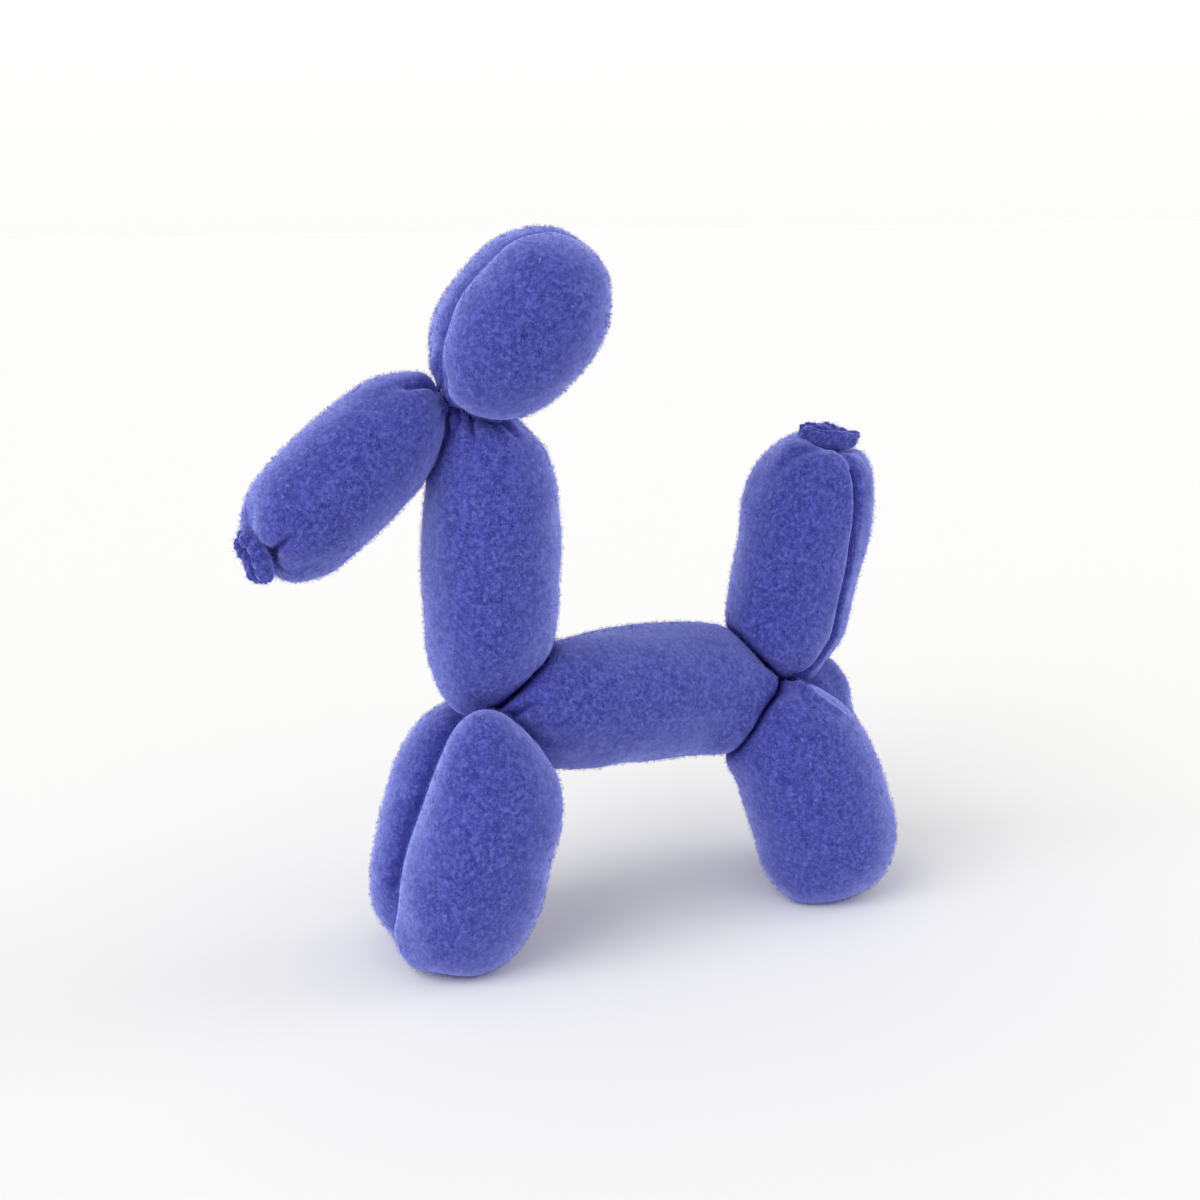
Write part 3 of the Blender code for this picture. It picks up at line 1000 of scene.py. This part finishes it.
right, up, back = camera_axes()
make_frill("nose_frill", NOSE_TIE + CENTRING - 0.10 * right + 0.14 * up + 0.45 * back,
           opens=(-0.956, -0.262, -0.128), long_way=0.75 * right - 0.66 * up,
           half_long=1.50, half_wide=0.92, tall=1.05, waist=0.16, slit_deep=0.55, crinkle=0.12)
make_frill("tail_frill", TAIL_TIE + CENTRING - 0.24 * right + 0.02 * up + 0.45 * back,
           opens=(0.06, -0.30, 0.95), long_way=right + 0.02 * up,
           half_long=1.72, half_wide=0.76, tall=1.10, waist=0.10, slit_deep=0.40, crinkle=0.13)

# %% [markdown]
# ## Nap
# Against the light, the outline of fleece is soft with short loose hairs. A hair shader can't
# draw that on an exported model, so each hair is a thin closed spindle, bent in its middle.
# Those next to a contact soften its dark line. None are rooted between two bubbles.

# %% Grow the nap
NAP_PER_BUBBLE = 9000
NAP_PER_FRILL = 1000
HAIR_LENGTHS = (0.10, 0.30)
HAIR_WIDTHS = (0.0065, 0.0115)
HAIR_LEAN = 0.9
ROOT_DEPTH = 0.02
CLEAR = 1.015            # the gauge of other bubbles from which a hair can be rooted
NAP_FROM_FLOOR = 0.12


def scattered(grid, count):
    """Random places and normals on a grid, drawn by the area of its cells."""
    normals = outward(grid)
    corner = grid[:-1]
    nextway = np.roll(grid, -1, axis=1)
    area = length(np.cross(nextway[:-1] - corner, grid[1:] - corner))
    total = np.cumsum(area)
    cell = np.searchsorted(total, random.uniform(0, total[-1], count))
    row, column = np.divmod(cell, grid.shape[1])
    after = (column + 1) % grid.shape[1]
    down, over = random.uniform(size=(2, count, 1))

    def between(values):
        """Bilinear mean of the four corners' values."""
        upper = values[row, column] * (1 - over) + values[row, after] * over
        lower = values[row + 1, column] * (1 - over) + values[row + 1, after] * over
        return upper * (1 - down) + lower * down

    return between(grid), unit(between(normals))


def clear_of_others(name, found, lowest):
    """Of found places and normals, those clear of the other bubbles and the floor."""
    roots, normals = found
    free = (others_gauge(name, roots) > CLEAR) & (roots[:, 2] > lowest)
    return roots[free], normals[free]


def three_round(middle, wide, side, other):
    """Three corners round each middle, wide away from it, in the plane of side and other."""
    return np.stack([middle + wide * (math.cos(angle) * side + math.sin(angle) * other)
                     for angle in (0.0, math.tau / 3, math.tau * 2 / 3)], axis=-2)


def tube_faces(rings):
    """Faces of one closed tube: a tip, that many rings of three corners, and a tip."""
    faces = [(2, 1, 0), (3, 2, 0), (1, 3, 0)]
    last, tip = 3 * rings - 2, 3 * rings + 1
    for start in range(1, last, 3):
        for a, b in ((start, start + 1), (start + 1, start + 2), (start + 2, start)):
            faces += [(a, b, b + 3), (a, b + 3, a + 3)]
    return faces + [(last, last + 1, tip), (last + 1, last + 2, tip), (last + 2, last, tip)]


def tubes(name, starts, rings, ends):
    """One mesh of many thin closed tubes: their tips, and their rings between."""
    rings = rings.reshape(len(starts), -1, 3)
    corners = np.concatenate((starts[:, None], rings, ends[:, None]), axis=1)
    first = np.arange(len(starts))[:, None, None] * corners.shape[1]
    faces = (first + tube_faces(rings.shape[1] // 3)).reshape(-1, 3)
    mesh = bpy.data.meshes.new(name)
    mesh.from_pydata(corners.reshape(-1, 3) * CM, [], faces.tolist())
    return mesh


def hair_mesh(name, roots, normals):
    """Spindles: root, a bent middle ringed by three points, and a tip that turns over."""
    count = len(roots)
    drift = random.normal(size=(2, count, 3))
    drift = unit(drift - (drift * normals).sum(axis=-1)[..., None] * normals)
    first = normals * random.uniform(0.35, 1.1, (count, 1)) + drift[0] * HAIR_LEAN
    second = (normals * random.uniform(-0.25, 0.7, (count, 1)) + drift[0] * 0.4
              + drift[1] * HAIR_LEAN)
    long = random.uniform(*HAIR_LENGTHS, (count, 1))
    middle = roots + long * 0.5 * first
    tip = middle + long * 0.5 * second
    side = unit(np.cross(tip - roots, drift[1]))
    other = unit(np.cross(tip - roots, side))
    wide = random.uniform(*HAIR_WIDTHS, (count, 1))
    return tubes(name, roots - ROOT_DEPTH * normals, three_round(middle, wide, side, other), tip)


for name, grid in SKINS.items():
    found = scattered(grid, NAP_PER_BUBBLE if name in BUBBLES else NAP_PER_FRILL)
    if name in BUBBLES:
        found = clear_of_others(name, found, NAP_FROM_FLOOR)
    place_piece(hair_mesh(name + "_nap", *found), NAP)

# %% [markdown]
# ## Strands and lint
# A few longer hairs have worked loose and lie on the cloth in small arcs, and here and there
# sits a pale speck of lint. Each is a thin closed tube along an arc in the plane of the cloth,
# bent down to stay on the bubble.

# %% Lay the strands
STRANDS_PER_BUBBLE = 240
STRAND_LENGTHS = (0.30, 0.95)
STRAND_WIDTHS = (0.0080, 0.0130)
STRAND_LIFTS = (0.012, 0.05)
STRAND_BENDS = (0.5, 3.4)        # radians from end to end
STRAND_FROM_FLOOR = 0.3
BUBBLE_R = 3.5
STEPS = np.linspace(-0.5, 0.5, 6)
LINT_PER_BUBBLE = 3
LINT_LENGTHS = (0.10, 0.30)
LINT_WIDTHS = (0.010, 0.020)


def strand_mesh(name, roots, normals, lengths, widths):
    """Arcs: x = sin(bend s)/bend, y = (1 - cos(bend s))/bend, sunk by (x^2 + y^2)/(2 R)."""
    count = len(roots)
    heading = unit(np.cross(normals, random.normal(size=(count, 3))))
    aside = np.cross(normals, heading)
    bend = random.uniform(*STRAND_BENDS, (count, 1)) * random.choice((-1.0, 1.0), (count, 1))
    long = random.uniform(*lengths, (count, 1))
    x = long * np.sin(bend * STEPS) / bend
    y = long * (1 - np.cos(bend * STEPS)) / bend
    lift = random.uniform(*STRAND_LIFTS, (count, 1)) - (x ** 2 + y ** 2) / (2 * BUBBLE_R)
    path = (roots[:, None] + x[..., None] * heading[:, None] + y[..., None] * aside[:, None]
            + lift[..., None] * normals[:, None])
    wide = random.uniform(*widths, (count, 1, 1))
    side = unit(np.cross(path[:, 2:] - path[:, :-2], normals[:, None]))
    rings = three_round(path[:, 1:-1], wide, side, normals[:, None])
    return tubes(name, path[:, 0], rings, path[:, -1])


lint = []
for name in BUBBLES:
    found = clear_of_others(name, scattered(SKINS[name], STRANDS_PER_BUBBLE), STRAND_FROM_FLOOR)
    lint.append([part[:LINT_PER_BUBBLE] for part in found])
    rest = [part[LINT_PER_BUBBLE:] for part in found]
    place_piece(strand_mesh(name + "_strands", *rest, STRAND_LENGTHS, STRAND_WIDTHS), NAP)
lint_roots, lint_normals = np.concatenate(lint, axis=1)
place_piece(strand_mesh("lint", lint_roots, lint_normals, LINT_LENGTHS, LINT_WIDTHS), LINT)

# %% Count the triangles and finish
print("triangles", sum(len(mesh.loops) - 2 * len(mesh.polygons) for mesh in bpy.data.meshes))
